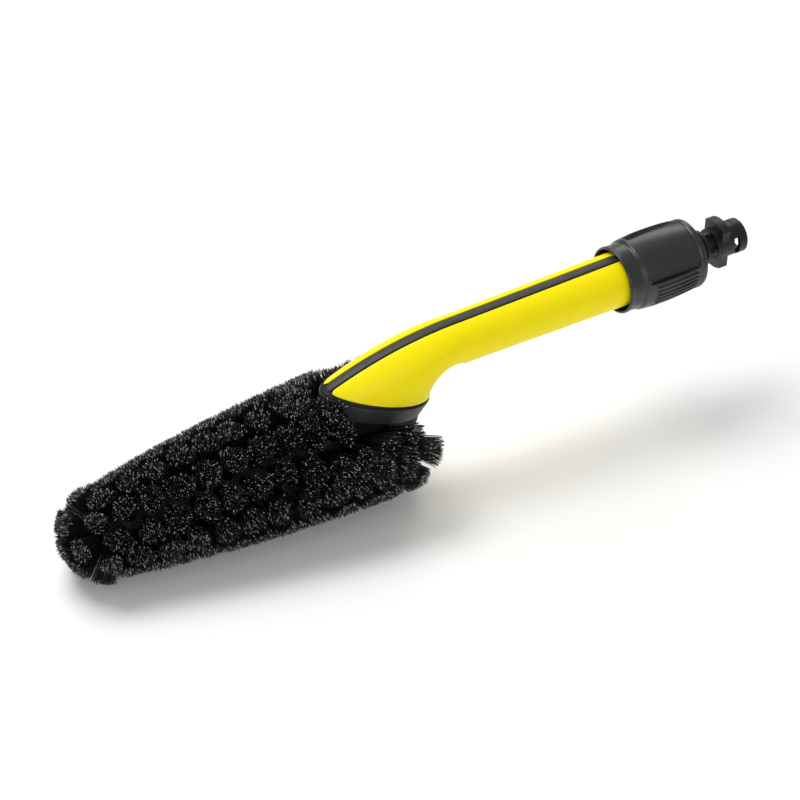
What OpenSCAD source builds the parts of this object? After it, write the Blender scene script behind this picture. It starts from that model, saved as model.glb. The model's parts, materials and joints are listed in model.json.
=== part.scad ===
// Wheel brush that plugs onto a spray gun: tufted head, curved handle, union nut, bayonet.
// The parts are drawn in an assembly frame whose origin is the centre of the nut's mouth.
// X runs along the grip to the bayonet, Y is sideways, Z is up.
// place() then tips the assembly so that the brush lies on its bristles at z = 0.

/* [Handle] */
// Radius of the grip where the union nut swallows it
grip_r = 15.5; // [15:0.1:15.8]
// Radius of the grip at its waist, just before it bends into the foot
waist_r = 14; // [13.6:0.1:14.6]
// Length of the straight grip, from the nut's mouth to the bend
grip_len = 100; // [95:1:110]
// Wall thickness of the two handle shells
shell_wall = 2.4; // [2:0.1:2.8]
// Width of the soft strip inlaid along the top
strip_w = 6.2; // [5:0.2:8]

/* [Foot] */
// Half the length of the oval rim under the foot
foot_a = 34.2; // [33:0.2:36]
// Half the width of the oval rim under the foot
foot_b = 18; // [17:0.5:19]
// Slope of the rim, down towards the nut
foot_tilt = 21; // [19:1:23]
// Height of the collar band under the rim
collar_h = 10; // [8:0.5:11]

/* [Head] */
// Angle between the head's axis and the grip's axis
head_pitch = 2.5; // [2:0.5:3]
// Radius over the bristle tips at the front station
trim_r = 24.6; // [23:0.1:25.5]
// Half the cone angle of the trimmed bristles
trim_angle = 6.1; // [5.5:0.1:6.5]
// Distance along the head between two neighbouring rings of tufts
ring_pitch = 7.5; // [7.3:0.1:7.6]
// Number of rings of tufts behind the rounded tip
ring_count = 24; // [22:1:24]
// Radius of a tuft where it leaves the core
tuft_root_r = 2.4; // [2:0.1:2.5]
// Radius of a tuft at its trimmed end
tuft_end_r = 4.4; // [3.8:0.1:4.6]

/* [Union nut] */
// Outer radius of the nut's body where it bulges most
nut_r = 21.2; // [20.8:0.1:21.6]
// Length of the nut
nut_len = 51; // [50.5:0.1:51.5]
// How far the nut and its thrust ring travel towards the spray gun
nut_travel = 7; // [4:0.5:7]

/* [Bayonet] */
// Radius of the plug's barrel
barrel_r = 9.9; // [9.6:0.05:10.1]
// Radius over the two locking lugs
lug_r = 14.7; // [14.3:0.1:15.2]
// Width of each locking lug
lug_w = 16.8; // [15:0.2:18]
// Length of the barrel in front of the lugs
barrel_len = 12.6; // [12.4:0.1:13]

/* [Fits] */
// Radial clearance of the parts that turn or slide
running_gap = 0.08; // [0.05:0.01:0.1]

/* [Hidden] */
$fn = 64;

// Colours
yellow = [1.0, 0.86, 0.0];
black = [0.13, 0.13, 0.14];
soft_black = [0.24, 0.24, 0.26];
rubber_black = [0.08, 0.08, 0.08];
bristle_black = [0.05, 0.05, 0.05];
steel = [0.75, 0.76, 0.78];
pale = [0.82, 0.82, 0.8];

// Pose of the assembly: the underside of the trimmed cone lies level
tip_at = [-315, 0, -42.7];
lie_angle = trim_angle - head_pitch;
drop_to_axis = -tip_at[0] * sin(lie_angle) - tip_at[2] * cos(lie_angle);
floor_lift = drop_to_axis + trim_r * cos(trim_angle) + tuft_end_r * sin(trim_angle);
mid_shift = 123.17;

// Foot: the sections of the bend fan out around a pivot under the grip
fan_pivot = [-grip_len, -34.2];
fan_angle = 90 - foot_tilt;
fan_inner = 20;
fan_bump = 4.5;
rim_dir = [-sin(fan_angle), cos(fan_angle)];
rim_mid = fan_pivot + (fan_inner + foot_a) * rim_dir;
rim_front = fan_pivot + (fan_inner + 2 * foot_a) * rim_dir;
crown_run = fan_pivot[0] - rim_front[0];
crown_drop = waist_r - rim_front[1];
crown_r = (crown_run * crown_run + crown_drop * crown_drop) / (2 * crown_drop);
foot_egg = 0.12;
loft_steps = 12;
arc_points = 17;
hood_len = 8;
seam_cut = 0.25;
rail_over = 2;
rail_gap = 0.15;
rail_depth = 0.8;

// Neck under the foot
seal_h = 1;
neck_draft = 0.2;
spigot_inset = 5.2;
room_inset = 3.7;
ledge_h = 2;
ledge_start = 24;
ledge_end = 156;
hook_reach = 20;
screw_r = 1.5;
screw_head_r = 2.6;
screw_head_h = 1.8;
screw_depth = 8;
pillar_r = 2.5;

// Core of the head, in the head frame: x from the front station backwards
plug_x = 7.4;
core_tip_r = 8.5;
core_end_r = 13.5;
core_len = 176;
gallery_r = 3.2;
gallery_end = 168;
socket_depth = 4;
trim_slope = tan(trim_angle);
dome_x = 7;
dome_reach = 27.7;
tip_taper = 0.25;
first_ring_x = -1.5;
row_step = 30;
outlet_rings = [8.5, 12.5, 16.5];
outlet_r = 1;

// Water way
tube_r = 4;
tube_bore_r = 2.6;
tube_bend_r = 16;
tube_start = -2.2;
nipple_r = 4.2;
nipple_bore_r = 2;
throat_r = 1.8;
drop_h = -rim_mid[1] / cos(foot_tilt);
bend_x = rim_mid[0] + drop_h * sin(foot_tilt);
bend_cut = tube_bend_r * tan(fan_angle / 2);

// Union nut and threaded boss, along the grip's axis
mouth_r = 18;
cavity_r = 17.2;
thread_r = 16.8;
thread_root_r = 15.9;
thread_pitch = 4;
boss_bore_r = 8;
boss_r = 11.6;
boss_end = 39;
neck_r = 10.3;
disc_end = 60;
ring_r = 14;
flange_r = 15.9;
plug_end = 86;
lug_len = 5.2;
lug_x = plug_end - barrel_len - lug_len;
fit_x = 80.7;
fit_relief = 0.25;
pin_x = 20;
pin_z = 7.2;
pin_r = 1.4;
stop_x = 43.6;

// Place the assembly so that it lies on its bristles
module place() {
  translate([mid_shift, 0, floor_lift])
    rotate([0, -lie_angle, 0])
      children();
}

// Frame of the head: origin at its front station, x along its axis to the neck
module head_frame() {
  translate(tip_at)
    rotate([0, -head_pitch, 0])
      children();
}

// Frame of the foot's rim: origin at its centre, x down its slope, z out of the head
module rim_frame() {
  translate([rim_mid[0], 0, rim_mid[1]])
    rotate([0, foot_tilt, 0])
      children();
}

// A solid of revolution about the x axis, from [x, r] points
module turned(points) {
  rotate([90, 0, 90])
    rotate_extrude($fn = 96)
      polygon([for (p = points) [p[1], p[0]]]);
}

// A round bar or bore along the x axis
module bar(x0, x1, r) {
  translate([x0, 0, 0])
    rotate([0, 90, 0])
      cylinder(h = x1 - x0, r = r);
}

// An O-ring around the x axis
module oring(x, ring_mid_r, cord_r) {
  translate([x, 0, 0])
    rotate([0, 90, 0])
      rotate_extrude($fn = 96)
        translate([ring_mid_r, 0])
          circle(r = cord_r, $fn = 32);
}

// ---- Handle ----

// Distance from the fan's pivot to the crown line at fan angle a
function crown_reach(a) =
  let (
    dir = [-sin(a), cos(a)],
    off = fan_pivot - [fan_pivot[0], waist_r - crown_r],
    half = dir * off
  ) sqrt(half * half - off * off + crown_r * crown_r) - half;

// Smooth step from 0 to 1
function ease(t) = t * t * (3 - 2 * t);

// A station of the handle is [centre, direction of its crown, half height, half width, egg].
// Station of the straight grip at x, inset by the wall
function grip_station(x, inset) =
  let (r = waist_r + (grip_r - waist_r) * (x + grip_len) / grip_len - inset)
    [[x, 0], [0, 1], r, r, 0];

// Station of the bend at share t of the fan, inset by the wall
function bend_station(t, inset) =
  let (
    a = fan_angle * t,
    dir = [-sin(a), cos(a)],
    inner = fan_inner + fan_bump * sin(180 * t) + inset,
    outer = crown_reach(a) - inset,
    half_w = waist_r + (foot_b - waist_r) * ease(t) - inset
  ) [fan_pivot + (inner + outer) / 2 * dir, dir, (outer - inner) / 2, half_w, foot_egg * ease(t)];

// Station k of the handle: 0 lies under the nut's mouth, the others run down the bend
function station(k, inset) =
  k == 0 ? grip_station(hood_len, inset) : bend_station((k - 1) / loft_steps, inset);

// Point of station s at angle q from its crown
function skin_point(s, q) =
  let (p = s[0] + s[2] * cos(q) * s[1]) [p[0], s[3] * sin(q) * (1 - s[4] * cos(q)), p[1]];

// Angle from the crown at which station s is y away from the middle plane
function crown_angle(s, y) = asin(y / (s[3] * (1 - s[4])));

// Closed skin through rings of equal point count
module loft(rings) {
  n = len(rings[0]);
  last = len(rings) - 1;
  sides = [
    for (k = [0:last - 1])
      for (i = [0:n - 1])
        let (j = (i + 1) % n) each [
          [k * n + i, (k + 1) * n + i, k * n + j],
          [k * n + j, (k + 1) * n + i, (k + 1) * n + j]
        ]
  ];
  start_cap = [for (i = [0:n - 1]) i];
  end_cap = [for (i = [n - 1:-1:0]) last * n + i];
  polyhedron(
    points = [for (ring = rings) each ring],
    faces = concat(sides, [start_cap, end_cap]),
    convexity = 6
  );
}

// Half section of the wall on the +Y side, from the strip's gap round to the seam and back
function shell_ring(k) =
  let (
    gap = strip_w / 2 + seam_cut,
    outer = station(k, 0),
    inner = station(k, shell_wall),
    q0 = crown_angle(outer, gap),
    q1 = crown_angle(inner, gap)
  ) concat(
    [for (i = [0:arc_points]) skin_point(outer, q0 + (180 - q0) * i / arc_points)],
    [for (i = [arc_points:-1:0]) skin_point(inner, q1 + (180 - q1) * i / arc_points)]
  );

// Shell screws: [x, z, y of the head's seat, y where the pillar ends in the wall]
shell_screw_at = [[-22, -7.9, 10.8, 0], [-84, -7, 10.6, 0], [-156, -3.6, 12.6, 12.4]];

// Screw pillars on the +Y side, ending inside the wall
module screw_pillars() {
  for (p = shell_screw_at)
    if (p[3] > 0)
      side_hole(p, 0, p[3], pillar_r);
    else
      intersection() {
        side_hole(p, 0, grip_r, pillar_r);
        grip_core(shell_wall - 0.6);
      }
}

// The straight grip's inside, inset from its skin
module grip_core(inset) {
  translate([-grip_len, 0, 0])
    rotate([0, 90, 0])
      cylinder(h = grip_len, r1 = waist_r - inset, r2 = grip_r - inset);
}

// Round bar across the handle at screw p, from y0 to y1
module side_hole(p, y0, y1, r) {
  translate([p[0], y0, p[1]])
    rotate([-90, 0, 0])
      cylinder(h = y1 - y0, r = r);
}

// Ledge inside the rim on the +Y side that the neck's hooks reach over
module foot_ledge() {
  outer = shell_wall - 0.4;
  inner = spigot_inset - 0.3;
  rim_frame()
    translate([0, 0, 0.3])
      linear_extrude(height = ledge_h - 0.3)
        polygon(concat(
          [for (q = [ledge_start:6:ledge_end]) oval_point(outer, q)],
          [for (q = [ledge_end:-6:ledge_start]) oval_point(inner, q)]
        ));
}

// Bare shell on the +Y side
module half_shell() {
  loft([for (k = [0:loft_steps + 1]) shell_ring(k)]);
  screw_pillars();
  foot_ledge();
}

// Left shell, with through holes and recesses for the screw heads
module handle_shell_left() {
  color(yellow)
    place()
      difference() {
        half_shell();
        for (p = shell_screw_at) {
          side_hole(p, -1, 20, screw_r + 0.05);
          side_hole(p, p[2], 22, screw_head_r + 0.1);
        }
      }
}

// Right shell, with blind holes that the screws bite into
module handle_shell_right() {
  color(yellow)
    place()
      mirror([0, 1, 0])
        difference() {
          half_shell();
          for (p = shell_screw_at)
            side_hole(p, -1, screw_depth + 0.5, screw_r + 0.05);
        }
}

// Point of the strip at station k, inset from the skin and y from the middle plane
function strip_point(k, inset, y) =
  let (s = station(k, inset), p = s[0] + s[2] * cos(crown_angle(s, y)) * s[1]) [p[0], y, p[1]];

// Section of the strip: its crowned face between the shells and the wider rail under them
function strip_ring(k) =
  let (
    half = strip_w / 2,
    at_rim = k > loft_steps,
    under = shell_wall + rail_gap,
    wide = half + (at_rim ? 0.2 : rail_over),
    deep = under + (at_rim ? 0.2 : rail_depth)
  ) concat(
    [for (y = [-half:half / 3:half + 0.01]) strip_point(k, 0.3, y)],
    [strip_point(k, under, half), strip_point(k, under, wide)],
    [for (y = [wide, 0, -wide]) strip_point(k, deep, y)],
    [strip_point(k, under, -wide), strip_point(k, under, -half)]
  );

// Soft strip between the shells' top edges, held by its rail
module spine_strip() {
  color(soft_black)
    place()
      loft([for (k = [0:loft_steps + 1]) strip_ring(k)]);
}

// Screws from the left side that hold the shells together
module shell_screws() {
  color(steel)
    place()
      for (p = shell_screw_at)
        difference() {
          union() {
            side_hole(p, -screw_depth, p[2] + 0.1, screw_r);
            side_hole(p, p[2], p[2] + screw_head_h, screw_head_r);
          }
          translate([p[0], p[2] + 0.9, p[1]])
            rotate([-90, 0, 0])
              cylinder(h = 2, r = 1.1, $fn = 6);
        }
}

// ---- Neck ----

// Point of the rim's oval at angle q from its front, shrunk by inset
function oval_point(inset, q) =
  [-(foot_a - inset) * cos(q), (foot_b - inset) * sin(q) * (1 - foot_egg * cos(q))];

// Oval outline in the rim frame, shrunk by inset
module oval(inset) {
  polygon([for (i = [0:63]) oval_point(inset, 360 * i / 64)]);
}

// Oval slab in the rim frame, from height z0 up to z1
module oval_slab(z0, z1, inset) {
  translate([0, 0, z0])
    linear_extrude(height = z1 - z0)
      oval(inset);
}

// Collar band that tapers under the foot's rim
module neck_collar() {
  color(black)
    place()
      rim_frame()
        difference() {
          hull() {
            oval_slab(-seal_h - 0.6, -seal_h, -0.2);
            oval_slab(-seal_h - collar_h, -seal_h - collar_h + 0.5, neck_draft * collar_h);
          }
          oval_slab(-seal_h - collar_h - 1, 1, spigot_inset - 0.2);
        }
}

// Flat seal in the gap between the foot and the collar
module foot_seal() {
  color(rubber_black)
    place()
      rim_frame()
        difference() {
          oval_slab(-seal_h, 0, 0.7);
          oval_slab(-seal_h - 1, 1, spigot_inset - 0.2);
        }
}

// ---- Head ----

// Bulge of the trimmed shape at x: rounder at the sides, flat along the underside
function side_bulge(x) = 4.3 - 0.00055 * (x - 90) * (x - 90);
function top_bulge(x) = 1.6 - 0.0005 * (x - 50) * (x - 50);

// Trimmed radius of a row at distance x along the head
function trim_at(x, row) =
  trim_r + trim_slope * x + (
    abs(row) == 180 ? 0
    : abs(row) == 150 ? 0.55 * side_bulge(x)
    : abs(row) >= 90 ? side_bulge(x)
    : top_bulge(x)
  );

// Radius of the core at distance x along the head
function core_at(x) = core_tip_r + (core_end_r - core_tip_r) * (x - plug_x) / (core_len - plug_x);

// Distance along the head of ring i at the trimmed ends
function ring_x(i) = first_ring_x + ring_pitch * i;

// Lean of ring i: forward (positive) near the tip, backward at the heel
function ring_lean(i) = max(0, 23 - 3 * i) - 5.4 * max(0, i - ring_count + 6);

// Share of the way into the neck's stretch, from 0 to 1
function beside_neck(x) = ease(min(1, max(0, (x - 100) / 30)));

// Length of a tuft of ring i along its own lean, trimmed to the envelope
function ring_reach(i, row) =
  let (lean = ring_lean(i))
    (trim_at(ring_x(i), row) - tuft_end_r * abs(sin(lean))) / cos(lean);

// Rows near the top lean away from the neck
function row_turn(row, x) =
  abs(row) == 30 ? sign(row) * 12 * beside_neck(x)
  : abs(row) == 60 ? sign(row) * 15 * beside_neck(x)
  : 0;

// Rows that keep a tuft in the ring at x: the neck takes the room of the top ones
function row_kept(row, x) = abs(row) >= 60 || (abs(row) == 30 && x < 140) || x < 122;

// Rows of ring i: even rings hold the rows at 30, 90, 150, odd ones those at 0, 60, 120, 180
function rows_of(i) = [
  for (k = [0:5])
    let (row = -150 + (i % 2 == 0 ? 0 : row_step) + 2 * row_step * k)
      if (row_kept(row, ring_x(i))) row
];

// One tuft along +z: a straight root in its hole, then a cone up to the trimmed end
module tuft(root, reach) {
  rotate_extrude($fn = 24)
    polygon([
      [0, root - socket_depth],
      [tuft_root_r, root - socket_depth],
      [tuft_root_r, root],
      [tuft_end_r, reach],
      [0, reach]
    ]);
}

// Tufts of the rings from first to last
module rings(first, last) {
  head_frame()
    for (i = [first:last])
      for (row = rows_of(i))
        let (
          x = ring_x(i),
          lean = ring_lean(i),
          reach = ring_reach(i, row),
          foot = x + reach * sin(lean)
        )
          rotate([row + row_turn(row, x), 0, 0])
            translate([foot, 0, 0])
              rotate([0, -lean, 0])
                tuft(core_at(foot) / cos(lean), reach);
}

// One tuft of the tip, along +z from the dome's centre, with a tapered root
module tip_tuft(reach) {
  deep = core_tip_r - socket_depth;
  rotate_extrude($fn = 24)
    polygon([
      [0, deep],
      [tip_taper * deep, deep],
      [tip_taper * core_tip_r, core_tip_r],
      [tuft_end_r, reach],
      [0, reach]
    ]);
}

// Tufts of the rounded tip: one on the axis, then two crowns around it
module tip_bunch() {
  head_frame()
    translate([dome_x, 0, 0]) {
      rotate([0, -90, 0])
        tip_tuft(dome_reach);
      for (row = [0:60:300]) {
        rotate([row, 0, 0])
          rotate([0, -55, 0])
            tip_tuft(dome_reach);
        rotate([row + row_step, 0, 0])
          rotate([0, -22, 0])
            tip_tuft(dome_reach - 1);
      }
    }
}

module tip_tufts() {
  color(bristle_black) place() tip_bunch();
}

module front_tufts() {
  color(bristle_black) place() rings(1, 6);
}

module middle_tufts() {
  color(bristle_black) place() rings(7, 12);
}

module rear_tufts() {
  color(bristle_black) place() rings(13, ring_count - 6);
}

module heel_tufts() {
  color(bristle_black) place() rings(ring_count - 5, ring_count);
}

// Tapered core of the head with a rounded heel
module core() {
  heel = [for (a = [0:7.5:90]) [core_len + core_end_r * sin(a), core_end_r * cos(a)]];
  head_frame()
    turned(concat([[plug_x, 0], [plug_x, core_tip_r]], heel));
}

// Neck from the collar down into the core's rear end
module neck() {
  hull() {
    rim_frame()
      oval_slab(-seal_h - collar_h - 0.5, -seal_h - collar_h, neck_draft * collar_h + 0.7);
    head_frame() {
      translate([core_len - 1, 0, 1])
        sphere(r = core_end_r - 1, $fn = 32);
      translate([core_len - 42, 0, 0])
        sphere(r = core_end_r - 2.5, $fn = 32);
    }
  }
}

// The room inside the foot, inset from its skin all round
module foot_room(inset) {
  loft([
    for (k = [loft_steps - 2:loft_steps + 1])
      [for (i = [0:31]) skin_point(station(k, inset), 360 * i / 32)]
  ]);
}

// Spigot of the neck: it fills the collar, and its side hooks reach over the shells' ledges
module neck_spigot() {
  rim_frame()
    oval_slab(-seal_h - collar_h - 1, -seal_h - 1, spigot_inset);
  difference() {
    union() {
      rim_frame()
        oval_slab(-seal_h - 1.5, 0.3, spigot_inset);
      intersection() {
        foot_room(room_inset);
        rim_frame()
          union() {
            oval_slab(0, ledge_h + 2.2, spigot_inset);
            intersection() {
              oval_slab(ledge_h + 0.2, ledge_h + 2.2, shell_wall + 0.5);
              translate([-hook_reach, -foot_b, ledge_h])
                cube([2 * hook_reach, 2 * foot_b, 3]);
            }
          }
      }
    }
    rim_frame()
      oval_slab(-seal_h - 1, ledge_h + 3, spigot_inset + 2.4);
  }
}

// Socket of the water tube, its seal's seat and the way down into the gallery
module tube_socket() {
  rim_frame() {
    translate([0, 0, -12])
      cylinder(h = 14, r = tube_r + running_gap);
    translate([0, 0, -25])
      cylinder(h = 14, r = gallery_r - 0.4);
  }
}

// Spray outlets between the tuft rows, from the gallery outwards
module outlets() {
  head_frame()
    for (i = outlet_rings)
      for (row = [-135, -45, 45, 135])
        rotate([row, 0, 0])
          translate([ring_x(i), 0, 0])
            cylinder(h = 2 * core_end_r, r = outlet_r);
}

module brush_body() {
  color(black)
    place()
      difference() {
        union() {
          core();
          neck();
          neck_spigot();
        }
        head_frame()
          bar(plug_x - 1, gallery_end, gallery_r);
        tube_socket();
        outlets();
        rings(1, ring_count);
      }
}

// Domed plug that closes the gallery and holds the tip's tufts
module tip_plug() {
  color(black)
    place()
      difference() {
        head_frame()
          turned(concat(
            [for (a = [0:10:90]) [dome_x - core_tip_r * cos(a), core_tip_r * sin(a)]],
            [[plug_x, core_tip_r], [plug_x, gallery_r - 0.05], [plug_x + 7, gallery_r - 0.05]],
            [[plug_x + 7, 0]]
          ));
        tip_bunch();
      }
}

// ---- Water way ----

// Tube run of radius r, reaching past both of its ends by over
module tube_run(r, over) {
  bar(bend_x + bend_cut, tube_start + over, r);
  translate([bend_x + bend_cut, 0, -tube_bend_r])
    rotate([90, 0, 0])
      rotate([0, 0, 90])
        rotate_extrude(angle = fan_angle, $fn = 96)
          translate([tube_bend_r, 0])
            circle(r = r, $fn = 48);
  rim_frame()
    translate([0, 0, -11.5 - over])
      cylinder(h = drop_h - bend_cut + 11.5 + over, r = r);
}

// Bent tube that carries the water from the plug down to the head
module water_tube() {
  color(pale)
    place()
      difference() {
        tube_run(tube_r, 0);
        tube_run(tube_bore_r, 1);
      }
}

// Seal around the tube on the neck's deck
module foot_oring() {
  color(rubber_black)
    place()
      rim_frame()
        translate([0, 0, -seal_h - 1 + 0.9])
          rotate_extrude($fn = 96)
            translate([tube_r + 0.9, 0])
              circle(r = 0.87, $fn = 32);
}

// Seal between the tube and the plug's rear socket
module plug_oring() {
  color(rubber_black)
    place() oring(-6.5, tube_r + 0.8, 0.77);
}

// ---- Threaded boss ----

// Boss in the grip's end that carries the nut's thread
module threaded_boss() {
  ridges = [
    for (n = [0:4])
      let (x = 12 + thread_pitch * n) each [
        [x, thread_root_r], [x + 1.2, thread_r], [x + 2, thread_r], [x + 3.2, thread_root_r]
      ]
  ];
  color(black)
    place()
      difference() {
        turned(concat(
          [[-28, 0], [-28, boss_r], [hood_len + 0.1, boss_r], [hood_len + 0.1, 16.4], [12, 16.4]],
          ridges,
          [[35, thread_root_r], [35, 14.7], [37.4, 14.7], [37.4, thread_root_r]],
          [[boss_end, thread_root_r], [boss_end, 0]]
        ));
        bar(-11, boss_end + 1, boss_bore_r);
        bar(-29, -10.5, tube_r + 0.4);
        side_hole(shell_screw_at[0], -grip_r, grip_r, pillar_r + 0.1);
        for (side = [-1, 1])
          translate([pin_x, 20, side * pin_z])
            rotate([90, 0, 0])
              cylinder(h = 40, r = pin_r);
      }
}

// Two cross pins that lock the plug in the boss
module boss_pins() {
  color(steel)
    place()
      for (side = [-1, 1])
        translate([pin_x, 13, side * pin_z])
          rotate([90, 0, 0])
            cylinder(h = 26, r = pin_r);
}

// Rubber ring that brakes the nut so that it stays where it is set
module brake_ring() {
  color(rubber_black)
    place() oring(36.2, 15.93, 1.18);
}

// ---- Bayonet ----

// Plug with its rear spigot, ringed neck, two lugs and barrel
module bayonet_plug() {
  color(black)
    place()
      difference() {
        union() {
          turned([
            [-10, 0], [-10, boss_bore_r - 0.1],
            [pin_x - 1.45, boss_bore_r - 0.1], [pin_x - 1.45, 5.7],
            [pin_x + 1.45, 5.7], [pin_x + 1.45, boss_bore_r - 0.1],
            [boss_end, boss_bore_r - 0.1], [boss_end, neck_r],
            [57, neck_r], [57, 9.1], [58.2, 9.1], [58.2, neck_r], [disc_end, neck_r],
            [disc_end, 6], [66, 6], [66, 9.4], [lug_x, 9.4],
            [lug_x, barrel_r - fit_relief], [fit_x, barrel_r - fit_relief],
            [fit_x, barrel_r], [plug_end - 0.7, barrel_r], [plug_end, barrel_r - 0.7], [plug_end, 0]
          ]);
          intersection() {
            bar(lug_x, lug_x + lug_len, lug_r);
            translate([lug_x - 1, -lug_w / 2, -lug_r - 1])
              cube([lug_len + 2, lug_w, 2 * lug_r + 2]);
          }
          for (turn = [0, 90])
            rotate([turn, 0, 0])
              translate([disc_end - 0.5, -1.1, -8.9])
                cube([7, 2.2, 17.8]);
        }
        bar(-11, -2, tube_r + running_gap);
        bar(-7.6, -5.4, tube_r + 1.6);
        bar(-3, 68, throat_r);
        bar(67, 75.5, 5);
        bar(75, plug_end + 1, 7.5);
        translate([76.8, -12, -5.2])
          cube([3.6, 24, 10.4]);
      }
}

// Nozzle inside the barrel that the gun's water seal slides onto
module inlet_nipple() {
  color(pale)
    place()
      difference() {
        turned([
          [67, 0], [67, 4.95], [75, 4.95], [75, nipple_r],
          [77.8, nipple_r], [77.8, 3.3], [79.8, 3.3], [79.8, nipple_r],
          [80.8, nipple_r], [81.4, 3.6], [81.4, 0]
        ]);
        bar(66, 83, nipple_bore_r);
      }
}

// Seal on the nozzle
module nipple_oring() {
  color(rubber_black)
    place() oring(78.8, nipple_r + 0.07, 0.95);
}

// ---- Union nut ----

// Ring that slides on the plug's neck and presses on the gun without turning
module thrust_ring() {
  color(black)
    place()
      difference() {
        turned([
          [stop_x, 0], [stop_x, flange_r - 0.1], [stop_x + 2.8, flange_r - 0.1],
          [stop_x + 2.8, ring_r - running_gap], [nut_len - 0.6, ring_r - running_gap],
          [nut_len, ring_r - 0.8], [nut_len, 0]
        ]);
        bar(stop_x - 1, nut_len + 1, neck_r + running_gap);
      }
}

// Split ring in the nut's groove that keeps the thrust ring in
module retaining_ring() {
  color(steel)
    place()
      difference() {
        bar(stop_x - 1.7, stop_x - 0.3, cavity_r + 0.6);
        bar(stop_x - 3, stop_x + 1, ring_r - 0.6);
        translate([stop_x - 3, -3, -25])
          cube([6, 6, 20]);
      }
}

// Tapered grip groove: a shallow ledge with a deep trench along its lower edge
module nut_groove() {
  translate([0, 0, nut_r - 2])
    linear_extrude(height = 5)
      polygon([[12.5, -4], [13.5, 1.7], [45.6, 3.9], [45.6, -4]]);
  translate([0, 0, nut_r - 2.7])
    linear_extrude(height = 5)
      polygon([[13.5, -4], [13.5, -2.3], [45.6, -0.8], [45.6, -4]]);
}

// Radius of the nut's bulged body at x
function nut_body_r(x) = nut_r - (x < 25 ? 0.0045 : 0.0025) * (x - 25) * (x - 25);

// Nut with its mouth lip, convex body, grip grooves and ribbed pad
module union_nut() {
  color(black)
    place()
      difference() {
        union() {
          turned([
            [0, 0], [0, mouth_r + 0.8], [0.6, mouth_r + 1.3], [2.2, mouth_r + 1.3],
            [2.8, mouth_r + 1], [9, mouth_r + 1.2],
            for (x = [11:3.5:46]) [x, nut_body_r(x)],
            [46.4, nut_r - 1.6], [47.4, nut_r - 1.6], [47.8, nut_r - 1.1],
            [nut_len - 0.9, nut_r - 1.1], [nut_len, nut_r - 1.9], [nut_len, 0]
          ]);
          for (k = [0:4])
            rotate([85 + 8 * k, 0, 0])
              translate([17, -0.5, nut_r - 2])
                cube([28, 1, 2.4]);
        }
        for (turn = [-25:90:245])
          rotate([turn, 0, 0])
            nut_groove();
        turned([
          [-1, 0], [-1, mouth_r], [9, mouth_r], [13, thread_r + running_gap],
          [28, thread_r + running_gap], [28, cavity_r],
          [stop_x - 1.9, cavity_r], [stop_x - 1.9, cavity_r + 0.6],
          [stop_x - 0.1, cavity_r + 0.6], [stop_x - 0.1, cavity_r],
          [stop_x + 3.1, cavity_r], [stop_x + 3.1, ring_r], [nut_len + 1, ring_r],
          [nut_len + 1, 0]
        ]);
      }
}

brush_body();
tip_plug();
neck_collar();
foot_seal();
tip_tufts();
front_tufts();
middle_tufts();
rear_tufts();
heel_tufts();
handle_shell_left();
handle_shell_right();
spine_strip();
shell_screws();
water_tube();
foot_oring();
plug_oring();
threaded_boss();
boss_pins();
brake_ring();
bayonet_plug();
inlet_nipple();
nipple_oring();
thrust_ring();
retaining_ring();
union_nut();
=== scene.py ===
import json
import math

import bmesh
import bpy
import numpy as np
from mathutils import Matrix


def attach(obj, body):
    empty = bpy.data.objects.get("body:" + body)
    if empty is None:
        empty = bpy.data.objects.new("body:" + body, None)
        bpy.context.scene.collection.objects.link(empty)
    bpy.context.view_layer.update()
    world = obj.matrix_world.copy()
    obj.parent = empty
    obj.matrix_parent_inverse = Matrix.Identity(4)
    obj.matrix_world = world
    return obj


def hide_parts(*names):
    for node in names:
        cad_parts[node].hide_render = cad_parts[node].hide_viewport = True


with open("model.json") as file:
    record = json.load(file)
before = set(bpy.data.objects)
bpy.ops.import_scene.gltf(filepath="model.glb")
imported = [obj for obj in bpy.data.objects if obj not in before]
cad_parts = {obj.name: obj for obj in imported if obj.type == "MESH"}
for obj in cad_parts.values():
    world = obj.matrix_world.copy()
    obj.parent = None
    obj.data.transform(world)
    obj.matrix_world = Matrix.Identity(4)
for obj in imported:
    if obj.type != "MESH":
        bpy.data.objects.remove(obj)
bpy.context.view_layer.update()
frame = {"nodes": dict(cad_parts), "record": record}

RNG = np.random.default_rng(11)
BODY = "brush"

# ---- The assembly frame: x along the grip from the nut's mouth, z up, in millimetres ----

PLUG = next(m for m in frame["record"]["mounts"] if m["name"] == "bayonet")
AXIS = np.array(PLUG["axis"], float)
SIDE = np.array([0.0, 1.0, 0.0])
UP = np.array([-AXIS[2], 0.0, AXIS[0]])
FITTING_END = 85.3  # where the plug's fitting barrel ends, from the nut's mouth
MOUTH = np.array(PLUG["pos_m"], float) - 0.001 * (FITTING_END - PLUG["dims"]["length_mm"] / 2) * AXIS
BASIS = np.stack([AXIS, SIDE, UP])


def placed(p):
    """Points of the assembly frame, in mm, as world points in metres."""
    return MOUTH + 0.001 * (np.asarray(p, float).reshape(-1, 3) @ BASIS)


# ---- Mesh helpers ----

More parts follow.
